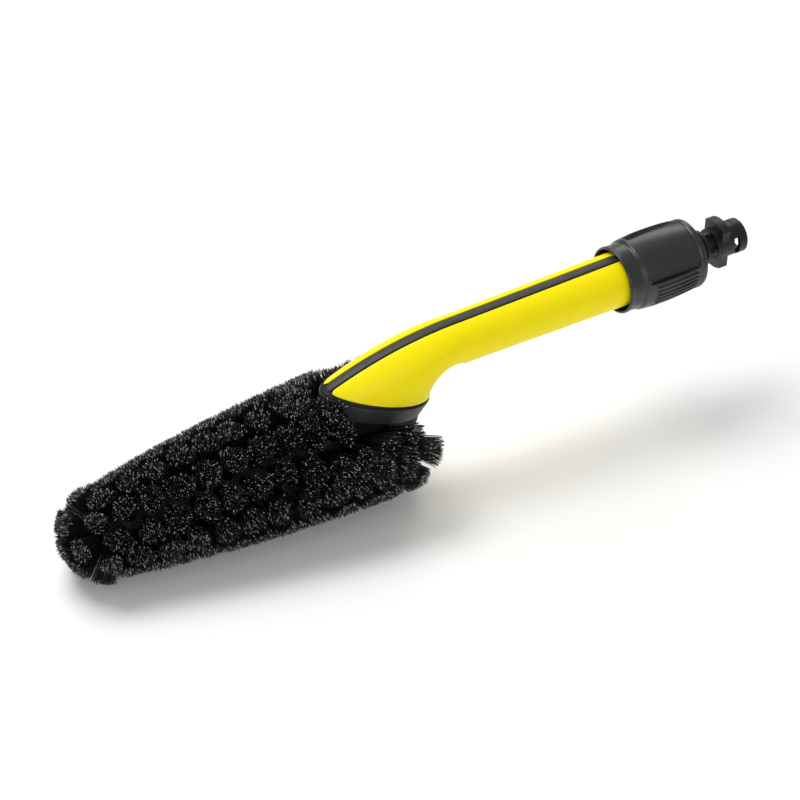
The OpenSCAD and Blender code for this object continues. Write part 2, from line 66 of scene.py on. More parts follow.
def build(name, verts, polys, body=BODY, materials=(), index=None, sharp=38):
    """A mesh object from points (mm, assembly frame) and lists of 3- or 4-column faces."""
    polys = [np.asarray(p, np.int64) for p in polys if len(p)]
    loops = np.concatenate([p.ravel() for p in polys])
    sizes = np.concatenate([np.full(len(p), p.shape[1]) for p in polys])
    mesh = bpy.data.meshes.new(name)
    mesh.vertices.add(len(verts))
    mesh.vertices.foreach_set("co", placed(verts).astype(np.float32).ravel())
    mesh.loops.add(len(loops))
    mesh.loops.foreach_set("vertex_index", loops.astype(np.int32))
    mesh.polygons.add(len(sizes))
    starts = np.concatenate([[0], np.cumsum(sizes)[:-1]])
    mesh.polygons.foreach_set("loop_start", starts.astype(np.int32))
    if index is not None:
        mesh.polygons.foreach_set("material_index", np.asarray(index, np.int32))
    mesh.update(calc_edges=True)
    mesh.shade_smooth()
    if sharp:
        mesh.set_sharp_from_angle(angle=math.radians(sharp))
    for m in materials:
        mesh.materials.append(m)
    obj = bpy.data.objects.new(name, mesh)
    bpy.context.scene.collection.objects.link(obj)
    outward(obj)
    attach(obj, body)
    return obj


def outward(obj):
    """Turns a closed mesh inside out if its volume comes out negative."""
    mesh = obj.data
    n = len(mesh.vertices)
    co = np.empty(n * 3, np.float32)
    mesh.vertices.foreach_get("co", co)
    co = co.reshape(-1, 3).astype(float)
    mesh.calc_loop_triangles()
    tri = np.empty(len(mesh.loop_triangles) * 3, np.int32)
    mesh.loop_triangles.foreach_get("vertices", tri)
    a, b, c = (co[tri.reshape(-1, 3)[:, k]] for k in range(3))
    if np.einsum("ij,ij->i", a, np.cross(b, c)).sum() < 0:
        mesh.flip_normals()


def lofted(rings):
    """Vertices and quads of a skin through an array of rings (stations, points, 3), open at both ends."""
    rings = np.asarray(rings, float)
    s, n = rings.shape[:2]
    k, i = np.meshgrid(np.arange(s - 1), np.arange(n), indexing="ij")
    j = (i + 1) % n
    quads = np.stack([k * n + i, (k + 1) * n + i, (k + 1) * n + j, k * n + j], -1).reshape(-1, 4)
    return rings.reshape(-1, 3), quads


# ---- Materials ----

def new_material(name):
    mat = bpy.data.materials.new(name)
    mat.use_nodes = True
    tree = mat.node_tree
    tree.nodes.clear()
    out = tree.nodes.new("ShaderNodeOutputMaterial")
    shader = tree.nodes.new("ShaderNodeBsdfPrincipled")
    tree.links.new(shader.outputs["BSDF"], out.inputs["Surface"])
    return mat, tree, shader


def noise(tree, scale, detail=3.0):
    coords = tree.nodes.new("ShaderNodeTexCoord")
    tex = tree.nodes.new("ShaderNodeTexNoise")
    tex.inputs["Scale"].default_value = scale
    tex.inputs["Detail"].default_value = detail
    tree.links.new(coords.outputs["Object"], tex.inputs["Vector"])
    return tex.outputs["Fac"]


def span(tree, value, low, high):
    node = tree.nodes.new("ShaderNodeMapRange")
    node.inputs["To Min"].default_value = low
    node.inputs["To Max"].default_value = high
    tree.links.new(value, node.inputs["Value"])
    return node.outputs["Result"]


def ramp(tree, value, stops):
    node = tree.nodes.new("ShaderNodeValToRGB")
    node.color_ramp.elements[0].position = stops[0][0]
    node.color_ramp.elements[0].color = (*stops[0][1], 1)
    node.color_ramp.elements[1].position = stops[-1][0]
    node.color_ramp.elements[1].color = (*stops[-1][1], 1)
    for pos, col in stops[1:-1]:
        e = node.color_ramp.elements.new(pos)
        e.color = (*col, 1)
    tree.links.new(value, node.inputs["Fac"])
    return node.outputs["Color"]


def bump(tree, shader, height, strength, distance):
    node = tree.nodes.new("ShaderNodeBump")
    node.inputs["Strength"].default_value = strength
    node.inputs["Distance"].default_value = distance
    tree.links.new(height, node.inputs["Height"])
    tree.links.new(node.outputs["Normal"], shader.inputs["Normal"])
    return node


def edge_round(tree, node, radius):
    """Softens the edges that a shader sees, under a bump."""
    bev = tree.nodes.new("ShaderNodeBevel")
    bev.samples = 4
    bev.inputs["Radius"].default_value = radius
    tree.links.new(bev.outputs["Normal"], node.inputs["Normal"])


def plastic(name, dark, light, rough, grain, grain_depth, patch, specular=0.5, soften=0.0):
    """Moulded plastic: a slow drift of colour and roughness, and a fine grain."""
    mat, tree, shader = new_material(name)
    drift = noise(tree, patch, 4.0)
    col = ramp(tree, drift, [(0.3, dark), (0.7, light)])
    tree.links.new(col, shader.inputs["Base Color"])
    tree.links.new(span(tree, noise(tree, patch * 3), rough - 0.06, rough + 0.07), shader.inputs["Roughness"])
    shader.inputs["Specular IOR Level"].default_value = specular
    node = bump(tree, shader, noise(tree, grain, 2.0), 0.35, grain_depth)
    if soften:
        edge_round(tree, node, soften)
    return mat


YELLOW = plastic(
    "yellow_shell", (0.93, 0.775, 0.0), (0.96, 0.80, 0.0),
    rough=0.42, grain=2600, grain_depth=0.00004, patch=30, specular=0.2)
BLACK = plastic(
    "black_plastic", (0.016, 0.016, 0.0165), (0.026, 0.026, 0.027),
    rough=0.40, grain=2200, grain_depth=0.0001, patch=50, soften=0.0003)
NUT = plastic(
    "nut_plastic", (0.011, 0.011, 0.0113), (0.019, 0.019, 0.0195),
    rough=0.33, grain=1500, grain_depth=0.00022, patch=60, specular=0.6)
CORE = plastic(
    "core_plastic", (0.005, 0.005, 0.005), (0.008, 0.008, 0.008),
    rough=0.5, grain=2200, grain_depth=0.00006, patch=50, specular=0.2)
COLLAR = plastic(
    "collar_plastic", (0.028, 0.028, 0.0295), (0.038, 0.038, 0.040),
    rough=0.46, grain=2200, grain_depth=0.00009, patch=50, specular=0.45, soften=0.0004)
PLUG_BLACK = plastic(
    "plug_plastic", (0.006, 0.006, 0.0063), (0.010, 0.010, 0.0105),
    rough=0.42, grain=2200, grain_depth=0.00008, patch=60, specular=0.38, soften=0.0003)
STRIP = plastic(
    "soft_strip", (0.026, 0.026, 0.029), (0.034, 0.034, 0.038),
    rough=0.50, grain=3200, grain_depth=0.00008, patch=80, specular=0.35)
# Dark seal rubber; it also paints the shade in the grooves along the strip's edges
RUBBER_AND_GROOVE_SHADE = plastic(
    "seal_rubber", (0.006, 0.006, 0.006), (0.011, 0.011, 0.011),
    rough=0.62, grain=2500, grain_depth=0.00005, patch=70, specular=0.3)
PALE = plastic(
    "pale_plastic", (0.60, 0.60, 0.58), (0.66, 0.66, 0.63),
    rough=0.45, grain=2200, grain_depth=0.00004, patch=60)


def metal(name):
    mat, tree, shader = new_material(name)
    shade = ramp(tree, noise(tree, 400, 4), [(0.3, (0.52, 0.53, 0.55)), (0.7, (0.62, 0.63, 0.65))])
    tree.links.new(shade, shader.inputs["Base Color"])
    tree.links.new(span(tree, noise(tree, 900, 3), 0.25, 0.42), shader.inputs["Roughness"])
    shader.inputs["Metallic"].default_value = 1.0
    return mat


STEEL = metal("plated_steel")


def fibre(name, low, high, rough):
    """Bristle fibre: the shade drifts from fibre to fibre."""
    mat, tree, shader = new_material(name)
    tree.links.new(ramp(tree, noise(tree, 1500, 2), [(0.35, low), (0.65, high)]), shader.inputs["Base Color"])
    tree.links.new(span(tree, noise(tree, 700, 2), rough - 0.08, rough + 0.08), shader.inputs["Roughness"])
    shader.inputs["Specular IOR Level"].default_value = 0.4
    return mat


FIBRE = fibre("bristle_fibre", (0.004, 0.004, 0.0042), (0.011, 0.011, 0.0115), 0.42)
FIBRE_GREY = fibre("bristle_end", (0.012, 0.012, 0.0125), (0.045, 0.045, 0.046), 0.6)
FIBRE_PALE = fibre("bristle_split_tip", (0.17, 0.17, 0.173), (0.46, 0.46, 0.465), 0.7)

# ---- CAD nodes that stay, with their own materials ----

# Their facets are welded, and shaded smooth up to the crease
WELD_GAP = 2e-6
CREASE = math.radians(32)
KEPT = {
    "brush_body": CORE, "tip_plug": CORE, "neck_collar": COLLAR,
    "shell_screws": STEEL, "water_tube": PALE, "foot_oring": RUBBER_AND_GROOVE_SHADE, "plug_oring": RUBBER_AND_GROOVE_SHADE,
    "threaded_boss": BLACK, "boss_pins": STEEL, "brake_ring": RUBBER_AND_GROOVE_SHADE, "bayonet_plug": PLUG_BLACK,
    "inlet_nipple": PALE, "nipple_oring": RUBBER_AND_GROOVE_SHADE, "thrust_ring": BLACK, "retaining_ring": STEEL,
}
for node_name, material in KEPT.items():
    obj = frame["nodes"][node_name]
    obj.data.materials.clear()
    obj.data.materials.append(material)
    if "custom_normal" in obj.data.attributes:
        obj.data.attributes.remove(obj.data.attributes["custom_normal"])
    obj.data.polygons.foreach_set("use_smooth", np.ones(len(obj.data.polygons), bool))
    weld = obj.modifiers.new("weld", "WELD")
    weld.merge_threshold = WELD_GAP
    split = obj.modifiers.new("edges", "EDGE_SPLIT")
    split.split_angle = CREASE

# ---- Handle ----

PIVOT = np.array([-100.0, -34.2])
FAN = math.radians(69.0)
FAN_INNER, FAN_BUMP = 20.0, 4.5
WAIST_R, HOOD_R, HOOD_X = 14.0, 15.62, 8.0
FOOT_A, FOOT_B, FOOT_EGG = 34.2, 18.0, 0.12
WALL = 2.4
GAP = 3.35  # from the middle plane to each shell's upper edge
RIM_FRONT = PIVOT + (FAN_INNER + 2 * FOOT_A) * np.array([-math.sin(FAN), math.cos(FAN)])
CROWN_DROP = WAIST_R - RIM_FRONT[1]
CROWN_R = ((PIVOT[0] - RIM_FRONT[0]) ** 2 + CROWN_DROP ** 2) / (2 * CROWN_DROP)


def ease(t):
    """Smooth step from 0 to 1."""
    t = np.clip(t, 0.0, 1.0)
    return t * t * (3 - 2 * t)


def crown_reach(a):
    """Distance from the bend's pivot to the crown's arc, a radians round the bend."""
    d = np.array([-math.sin(a), math.cos(a)])
    off = np.array([0.0, PIVOT[1] - (WAIST_R - CROWN_R)])
    half = d @ off
    return math.sqrt(half * half - off @ off + CROWN_R ** 2) - half


def station(u):
    """Centre, crown direction, half height, half width and egg; u is -1..0 on the grip, 0..1 on the bend."""
    if u < 0:
        centre, crown, high, wide, _ = station(0.0)
        centre = centre * (1 + u) + np.array([HOOD_X, 0.0]) * -u
        return centre, crown, high * (1 + u) - HOOD_R * u, wide * (1 + u) - HOOD_R * u, 0.0
    a = FAN * u
    d = np.array([-math.sin(a), math.cos(a)])
    inner = FAN_INNER + FAN_BUMP * math.sin(math.pi * u)
    outer = crown_reach(a)
    half_width = WAIST_R + (FOOT_B - WAIST_R) * float(ease(u))
    return PIVOT + (inner + outer) / 2 * d, d, (outer - inner) / 2, half_width, FOOT_EGG * float(ease(u))


def skin(st, q, inset=0.0):
    """Point of a station's skin at angle q from its crown."""
    c, d, hh, hw, egg = st
    p = c + (hh - inset) * math.cos(q) * d
    return [p[0], (hw - inset) * math.sin(q) * (1 - egg * math.cos(q)), p[1]]


def crown_q(st, y, inset=0.0):
    """Angle from the crown at which a station's skin is y away from the middle plane."""
    return math.asin(y / ((st[3] - inset) * (1 - st[4])))


SHELL_END = 1 - math.radians(0.9) / FAN  # the shells stop short of the collar


def above_edge(p):
    """Height of a point over the plane that the shells' lower edge lies in."""
    a = FAN * SHELL_END
    return max(0.0, float((np.array([p[0], p[2]]) - PIVOT) @ np.array([math.cos(a), math.sin(a)])))


def corner(h, radius):
    """How far a rounded edge of this radius draws back at height h over the edge."""
    return radius - math.sqrt(max(0.0, radius ** 2 - (radius - h) ** 2)) if h < radius else 0.0


# Stations close up towards the shells' lower edge, which is rounded
TO_EDGE = [0.08, 0.066, 0.054, 0.044, 0.035, 0.028, 0.022, 0.017, 0.0125, 0.009, 0.0062, 0.004, 0.0023,
           0.0011, 0.0004, 0.0]
STATIONS = np.concatenate([
    np.linspace(-1.0, 0.0, 26)[:-1],
    np.linspace(0.0, 0.9, 46)[:-1],
    SHELL_END - np.array(TO_EDGE),
])


GAP_CORNER = 2.6


def shell_ring(u, sign):
    """Closed C-shaped section of one shell, with eased edges at the strip and at the seam."""
    st = station(u)
    pts = []
    gap = GAP + corner(above_edge(skin(st, 0.2)), GAP_CORNER)

    def add(q, inset, y=None):
        p = skin(st, q, inset)
        if inset < 1.0:
            radius = 0.7 + 0.5 * max(0.0, -math.cos(q)) ** 2
            p = skin(st, q, inset + corner(above_edge(p), radius))
        if y is not None:
            p[1] = y
        pts.append([p[0], sign * p[1], p[2]])

    add(crown_q(st, gap, 1.2), 1.2, gap)
    add(crown_q(st, gap, 0.45), 0.45, gap)
    add(crown_q(st, gap), 0.2, gap + 0.05)
    add(crown_q(st, gap + 0.16), 0.06)
    for q in np.linspace(crown_q(st, gap + 0.4), math.pi - 0.28 / st[3], 60):
        add(q, 0.0)
    add(math.pi - 0.08 / st[3], 0.12)
    add(math.pi - 0.02 / st[3], 0.4)
    outer_count = len(pts)
    for q in np.linspace(math.pi - 0.02 / st[3], crown_q(st, gap, WALL), 32):
        add(q, WALL)
    return pts, outer_count


def handle_shell(name, sign, node):
    """One half of the handle: a skin with a wall, closed at both ends."""
    rings = []
    for u in STATIONS:
        ring, outer_count = shell_ring(float(u), sign)
        rings.append(ring)
    verts, quads = lofted(rings)
    n = len(rings[0])
    inner = list(range(n - 1, outer_count - 1, -1))
    pick = np.round(np.linspace(0, outer_count - 1, len(inner))).astype(int)
    s = len(rings)
    caps = []
    tris = []
    for base in (0, (s - 1) * n):
        for a in range(len(inner) - 1):
            lo, hi = int(pick[a]), int(pick[a + 1])
            for m in range(lo, hi):
                tris.append([base + m, base + m + 1, base + inner[a]])
            caps.append([base + hi, base + inner[a + 1], base + inner[a]])
    tris = np.array(tris + caps)
    obj = build(name, verts, [quads, tris], materials=[YELLOW])
    recalc(obj)
    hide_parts(node)


def recalc(obj):
    """Consistent outward normals on a closed mesh."""
    bm = bmesh.new()
    bm.from_mesh(obj.data)
    bmesh.ops.recalc_face_normals(bm, faces=bm.faces)
    bm.to_mesh(obj.data)
    bm.free()
    obj.data.update()


handle_shell("shell_left", 1, "handle_shell_left")
handle_shell("shell_right", -1, "handle_shell_right")


# The strip's section as (distance from the middle plane, depth under the skin): the groove along its
# edge and its crowned face, and below them the underside
STRIP_FACE = [(3.1, 1.6), (3.1, 1.4), (2.5, 1.4), (2.42, 1.2), (2.36, 0.55), (2.22, 0.36), (1.9, 0.29),
              (1.0, 0.25), (0.0, 0.25)]
STRIP_UNDER, STRIP_DEPTH = (-3.1, -1.0, 1.0, 3.1), 2.5
STRIP_CORNER = 0.8
CREST = len(STRIP_FACE) - 1  # the section's point on the middle plane
GROOVE_FROM = 2.38


def strip_ring(u):
    """Closed section of the strip at a station."""
    st = station(u)
    top = STRIP_FACE + [(-y, i) for y, i in STRIP_FACE[-2::-1]]
    pts = []
    for y, inset in top:
        q = crown_q(st, abs(y), inset)
        p = skin(st, q, inset + corner(above_edge(skin(st, q, inset)), STRIP_CORNER))
        pts.append([p[0], y, p[2]])
    for y in STRIP_UNDER:
        p = skin(st, crown_q(st, abs(y), STRIP_DEPTH), STRIP_DEPTH)
        pts.append([p[0], y, p[2]])
    return pts


def strip():
    """The soft strip between the shells; it ends a little past their lower edge."""
    rings = [strip_ring(float(u)) for u in np.append(STATIONS[:-6], STATIONS[-6:] + 0.006)]
    verts, quads = lofted(rings)
    n = len(rings[0])
    s = len(rings)
    tris = []
    for base in (0, (s - 1) * n):
        mid = base + CREST
        for a in range(n):
            b = (a + 1) % n
            if base + a != mid and base + b != mid:
                tris.append([mid, base + a, base + b])
    # the narrow grooves along both edges of the strip get the near-black seal rubber: painted shade in the
    # grooves
    across = np.abs(verts[:, 1])[quads].mean(1)
    index = np.concatenate([(across > GROOVE_FROM).astype(int), np.zeros(len(tris), int)])
    polys = [quads, np.array(tris)]
    obj = build("strip", verts, polys, materials=[STRIP, RUBBER_AND_GROOVE_SHADE], index=index)
    recalc(obj)
    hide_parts("spine_strip")


strip()

FOOT_TILT = math.radians(21.0)
RIM_MID = PIVOT + (FAN_INNER + FOOT_A) * np.array([-math.sin(FAN), math.cos(FAN)])


def on_rim(q, inset, z):
    """Point of the rim's oval at angle q from its front, at height z over the rim's plane."""
    x = -(FOOT_A - inset) * math.cos(q)
    y = (FOOT_B - inset) * math.sin(q) * (1 - FOOT_EGG * math.cos(q))
    c, s = math.cos(FOOT_TILT), math.sin(FOOT_TILT)
    return [RIM_MID[0] + x * c + z * s, y, RIM_MID[1] - x * s + z * c]


def foot_gasket():
    """Rubber band in the wedge-shaped gap between the shells' edge and the collar."""
    top, mid, rim = station(SHELL_END - 0.003), station(SHELL_END + 0.004), station(1.0)
    rings = []
    for q in np.linspace(0, 2 * math.pi, 180, endpoint=False):
        rings.append([skin(top, q, 1.3), skin(mid, q, 1.0), skin(rim, q, 1.0), on_rim(q, 0.7, -0.35),
                      on_rim(q, 0.7, -1.0), on_rim(q, 4.9, -1.0), skin(top, q, 4.9)])
    verts, quads = lofted(rings)
    n = len(rings[0])
    last = (len(rings) - 1) * n
    i = np.arange(n)
    j = (i + 1) % n
    close = np.stack([last + i, i, j, last + j], -1)
    obj = build("foot_gasket", verts, [quads, close], materials=[RUBBER_AND_GROOVE_SHADE])
    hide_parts("foot_seal")


foot_gasket()

# ---- Union nut ----

NUT_R = 21.2


def nut_body_r(x):
    """Radius of the nut's bulged body at x."""
    return NUT_R - np.where(x < 25, 0.0045, 0.0025) * (x - 25) ** 2


def smooth_between(v, a, b):
    return ease((v - a) / (b - a))


def inside(v, low, high, soft):
    """1 between low and high and 0 outside them, with soft borders."""
    return smooth_between(v, low - soft, low + soft) * (1 - smooth_between(v, high - soft, high + soft))


# The nut's turned profile as (x, radius): its mouth lip, the step at its front and the cavity.
# Between the lip and the step lies the bulged body, worked out from nut_body_r.
LIP = [(0.0, 18.5), (0.08, 18.85), (0.3, 19.15), (0.7, 19.3), (1.2, 19.34), (1.8, 19.3), (2.2, 19.15),
       (2.45, 19.0), (2.8, 18.98), (3.2, 19.0), (5.0, 19.06), (7.0, 19.12), (8.6, 19.16)]
FRONT = [(46.3, 19.75), (46.5, 19.62), (46.9, 19.58), (47.3, 19.62), (47.55, 19.85), (47.8, 20.05),
         (48.2, 20.12), (49.6, 20.12), (50.3, 20.05), (50.75, 19.8), (51.0, 19.3)]
CAVITY = [(51.0, 17.5), (51.0, 15.0), (50.8, 14.3), (50.5, 14.0), (48.0, 14.0), (46.7, 14.0), (46.7, 17.2),
          (43.5, 17.2), (43.5, 17.8), (41.7, 17.8), (41.7, 17.2), (28.0, 17.2), (28.0, 16.88), (13.0, 16.88),
          (9.0, 18.0), (4.0, 18.0), (0.5, 18.02), (0.15, 18.12), (0.0, 18.3)]
BODY_FROM, BODY_TO, BODY_ROWS = 9.0, 46.0, 104
LIP_R = 19.16
GROOVE_TURNS = (-25, 65, 155, 245)
GROOVE_X, GROOVE_RUN, GROOVE_END = 13.5, 32.1, 45.4
GROOVE_LOW = -4.0
LEDGE_DEPTH, TRENCH_DEPTH, BEAD_H = 2.2, 3.0, 0.26
PAD_ARC, PAD_X, PAD_DEPTH = (79.0, 125.0), (15.2, 45.2), 0.4
RIB_AT, RIB_HALF, RIB_X, RIB_H, RIB_R = [85 + 8 * k for k in range(5)], 1.5, (17.0, 44.6), 1.0, 21.55
NUT_COLUMNS = 600


def groove_cuts(theta, x, body_r):
    """Depth of the four tapered grooves, and height of the fine beads along their edges."""
    cut = np.zeros_like(x)
    beads = np.zeros_like(x)
    for turn in GROOVE_TURNS:
        off = (np.degrees(theta)[None, :] - turn + 180) % 360 - 180
        y = -np.radians(off) * NUT_R
        grow = np.clip((x - GROOVE_X) / GROOVE_RUN, 0, 1)
        ledge = inside(y, GROOVE_LOW, 1.7 + 2.2 * grow, 0.18) * inside(x, 13.0, GROOVE_END, 0.3)
        trench = inside(y, GROOVE_LOW, -2.3 + 1.5 * grow, 0.16) * inside(x, 14.0, GROOVE_END, 0.3)
        flat = np.cos(np.radians(np.clip(off, -20, 20)))
        floor = np.minimum(body_r, (NUT_R - LEDGE_DEPTH) / flat)
        deep = np.minimum(body_r, (NUT_R - TRENCH_DEPTH) / flat)
        cut = np.maximum(cut, ledge * (body_r - floor))
        cut = np.maximum(cut, trench * (body_r - deep))
        bead = inside(y, 1.9 + 2.2 * grow, 2.5 + 2.2 * grow, 0.14) * inside(x, 14.0, GROOVE_END, 0.3)
        edge = inside(y, -4.75, -4.2, 0.14) * inside(x, 13.5, GROOVE_END, 0.3)
        beads = np.maximum(beads, BEAD_H * np.maximum(bead, edge))
    return cut, beads


def nut():
    """The union nut, turned from its profile, with its grooves, beads and ribbed pad."""
    profile = LIP + [(x, -1.0) for x in np.linspace(BODY_FROM, BODY_TO, BODY_ROWS)] + FRONT + CAVITY
    profile = np.array(profile)
    is_body = profile[:, 1] < 0
    theta = np.linspace(0, 2 * np.pi, NUT_COLUMNS, endpoint=False)
    x = profile[:, 0][:, None] * np.ones(NUT_COLUMNS)[None, :]
    r = profile[:, 1][:, None] * np.ones(NUT_COLUMNS)[None, :]
    start = smooth_between(x, BODY_FROM, 10.6)
    body_r = (1 - start) * LIP_R + start * nut_body_r(x)
    cut, beads = groove_cuts(theta, x, body_r)
    # the pad is a shallow panel with raised ribs on the lower near side
    deg = (np.degrees(theta)[None, :] + 180) % 360 - 180
    pad = inside(deg, *PAD_ARC, 0.5) * inside(x, *PAD_X, 0.3)
    raised = np.zeros_like(x)
    for mid in RIB_AT:
        rib = inside(deg, mid - RIB_HALF, mid + RIB_HALF, 0.5) * inside(x, *RIB_X, 0.35)
        raised = np.maximum(raised, rib)
    pad_floor = body_r - PAD_DEPTH
    padded = body_r * (1 - pad) + pad_floor * pad
    rib_top = np.minimum(RIB_R, pad_floor + RIB_H)
    padded = padded * (1 - raised) + np.maximum(rib_top, pad_floor) * raised
    body_r = np.minimum(padded - cut + beads * (1 - raised), NUT_R + 0.4)
    r = np.where(is_body[:, None], body_r, r)
    cosine, sine = np.cos(theta)[None, :], np.sin(theta)[None, :]
    verts = np.stack([x, -r * sine, r * cosine], -1)
    rows, cols = x.shape
    k, i = np.meshgrid(np.arange(rows), np.arange(cols), indexing="ij")
    k2, i2 = (k + 1) % rows, (i + 1) % cols
    quads = np.stack([k * cols + i, k * cols + i2, k2 * cols + i2, k2 * cols + i], -1).reshape(-1, 4)
    verts = verts.reshape(-1, 3)
    obj = build("nut", verts, [quads], body="union_nut", materials=[NUT], sharp=50)
    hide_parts("union_nut")


nut()

# ---- Bristles ----

HEAD_PITCH = math.radians(2.5)
HEAD = np.array([-315.0, 0.0, -42.7])
HEAD_X = np.array([math.cos(HEAD_PITCH), 0.0, math.sin(HEAD_PITCH)])
HEAD_Z = np.array([-math.sin(HEAD_PITCH), 0.0, math.cos(HEAD_PITCH)])
HEAD_BASIS = np.stack([HEAD_X, SIDE, HEAD_Z])
TRIM_R, TRIM_SLOPE = 24.6, math.tan(math.radians(6.1))
PLUG_X, TIP_R, END_R, CORE_LEN = 7.4, 8.5, 13.5, 176.0
DOME_X, DOME_REACH = 7.0, 27.7
ROOT_R, END_TUFT_R = 2.3, 4.4
RING_COUNT, RING_PITCH, FIRST_RING = 24, 7.5, -1.5


def side_bulge(x):
    """How far the trimmed shape bulges past its cone at the sides."""
    return 4.3 - 0.00055 * (x - 90) ** 2


def top_bulge(x):
    """How far it bulges at the top."""
    return 1.6 - 0.0005 * (x - 50) ** 2


def trim_at(x, row):
    """Trimmed radius of a row of tufts at x; rows are named by their degrees from the top."""
    if abs(row) == 180:
        more = 0.0
    elif abs(row) == 150:
        more = 0.55 * side_bulge(x)
    elif abs(row) >= 90:
        more = side_bulge(x)
    else:
        more = top_bulge(x)
    return TRIM_R + TRIM_SLOPE * x + more


def core_at(x):
    """Radius of the core at x."""
    return TIP_R + (END_R - TIP_R) * (x - PLUG_X) / (CORE_LEN - PLUG_X)


def ring_x(i):
    return FIRST_RING + RING_PITCH * i


def ring_lean(i):
    """Lean of ring i: towards the tip at the front, towards the heel at the rear."""
    return math.radians(max(0, 23 - 3 * i) - 5.4 * max(0, i - RING_COUNT + 6))


def beside_neck(x):
    """0 ahead of the neck, 1 beside it."""
    return float(ease((x - 100) / 30))


def row_turn(row, x):
    """How far the rows near the top lean away from the neck, in degrees."""
    if abs(row) == 30:
        return math.copysign(12, row) * beside_neck(x)
    if abs(row) == 60:
        return math.copysign(15, row) * beside_neck(x)
    return 0.0


def row_kept(row, x):
    """Whether a row has a tuft at x: the neck takes the room of the top ones."""
    return abs(row) >= 60 or (abs(row) == 30 and x < 140) or x < 122


def tufts_of(first, last):
    """Each tuft's origin on the head's axis, direction, start, reach and trimmed radius (head's frame)."""
    found = []
    for i in range(first, last + 1):
        x = ring_x(i)
        lean = ring_lean(i)
        for k in range(6):
            row = -150 + (0 if i % 2 == 0 else 30) + 60 * k
            if not row_kept(row, x):
                continue
            reach = (trim_at(x, row) - END_TUFT_R * abs(math.sin(lean))) / math.cos(lean)
            foot = x + reach * math.sin(lean)
            a = math.radians(row + row_turn(row, x))
            out = np.array([0.0, -math.sin(a), math.cos(a)])
            d = np.array([-math.sin(lean), 0.0, 0.0]) + math.cos(lean) * out
            found.append({
                "origin": np.array([foot, 0.0, 0.0]), "dir": d, "start": core_at(foot) / math.cos(lean),
                "reach": reach, "trim": trim_at(x, row),
            })
    return found


# Places around the neck's front where the bristles stand against the collar: (x along the head, row)
BY_COLLAR = [(118.5, 0), (117, -22), (117, 22), (125, -17), (125, 17), (133, -28), (133, 28)]


def collar_tufts():
    """Upright tufts at those places."""
    found = []
    for x, row in BY_COLLAR:
        a = math.radians(row)
        reach = trim_at(x, 30) - 1
        found.append({
            "origin": np.array([x, 0.0, 0.0]), "dir": np.array([0.0, -math.sin(a), math.cos(a)]),
            "start": core_at(x), "reach": reach, "trim": reach,
        })
    return found


RIM_IN_HEAD = HEAD_BASIS @ (np.array([RIM_MID[0], 0.0, RIM_MID[1]]) - HEAD)
RIM_X = HEAD_BASIS @ np.array([math.cos(FOOT_TILT), 0.0, -math.sin(FOOT_TILT)])
RIM_Z = HEAD_BASIS @ np.array([math.sin(FOOT_TILT), 0.0, math.cos(FOOT_TILT)])


def in_foot(p):
    """Whether points of the head's frame lie in the collar, the foot over it or the neck right under it."""
    rel = p - RIM_IN_HEAD
    u, v, w = rel @ RIM_X, rel[..., 1], rel @ RIM_Z
    less = np.interp(w, [-20.0, -11.0, -1.0, 10.0], [5.5, 1.8, -0.4, -0.4])
    q = np.arctan2(v, -u)
    wide = FOOT_B * (1 - FOOT_EGG * np.cos(q)) - less
    return ((u / (FOOT_A - less)) ** 2 + (v / wide) ** 2 < 1) & (w > -20) & (w < 30)


# Crowns of tufts round the tip: degrees off the axis, tufts, degrees that they are shifted, shorter by
TIP_CROWNS = ((0, 1, 0, 0.0), (35, 6, 0, 0.0), (68, 6, 30, 1.0))


def tip_tufts():
    """The tip's tufts fan out from the dome's centre; with no trim of their own, they end on its sphere."""
    found = []
    for off_axis, count, shift, less in TIP_CROWNS:
        for k in range(count):
            a = math.radians(60 * k + shift)
            t = math.radians(off_axis)
            d = np.array([-math.cos(t), -math.sin(a) * math.sin(t), math.cos(a) * math.sin(t)])
            found.append({
                "origin": np.array([DOME_X, 0.0, 0.0]), "dir": d, "start": TIP_R, "reach": DOME_REACH - less,
                "trim": None,
            })
    return found


def envelope(x, angle):
    """Radius over the trimmed ends at x along the head and at this angle (degrees) from its top."""
    side, top = side_bulge(x), top_bulge(x)
    a = np.abs((np.asarray(angle) + 180) % 360 - 180)
    up = smooth_between(a, 60, 90)
    down = np.interp(a, [120, 150, 180], [1.0, 0.55, 0.0])
    return TRIM_R + TRIM_SLOPE * x + (1 - up) * top + up * down * side


GOLDEN = 2.399963  # the golden angle, which spreads points evenly over a disc
# How wide a tuft opens: at the tip, along the head, and round it by a share of the radius there
TIP_SPLAY = 6.1
SPLAY_ALONG = 7.5
SPLAY_ROUND, SPLAY_SHARE = 9.8, 0.249
SUNK = 1.6  # how deep a filament starts under the core's skin


def random_offset(e1, e2, size, shape):
    """Random vectors across a tuft."""
    return RNG.normal(0, size, shape) * e1 + RNG.normal(0, size, shape) * e2


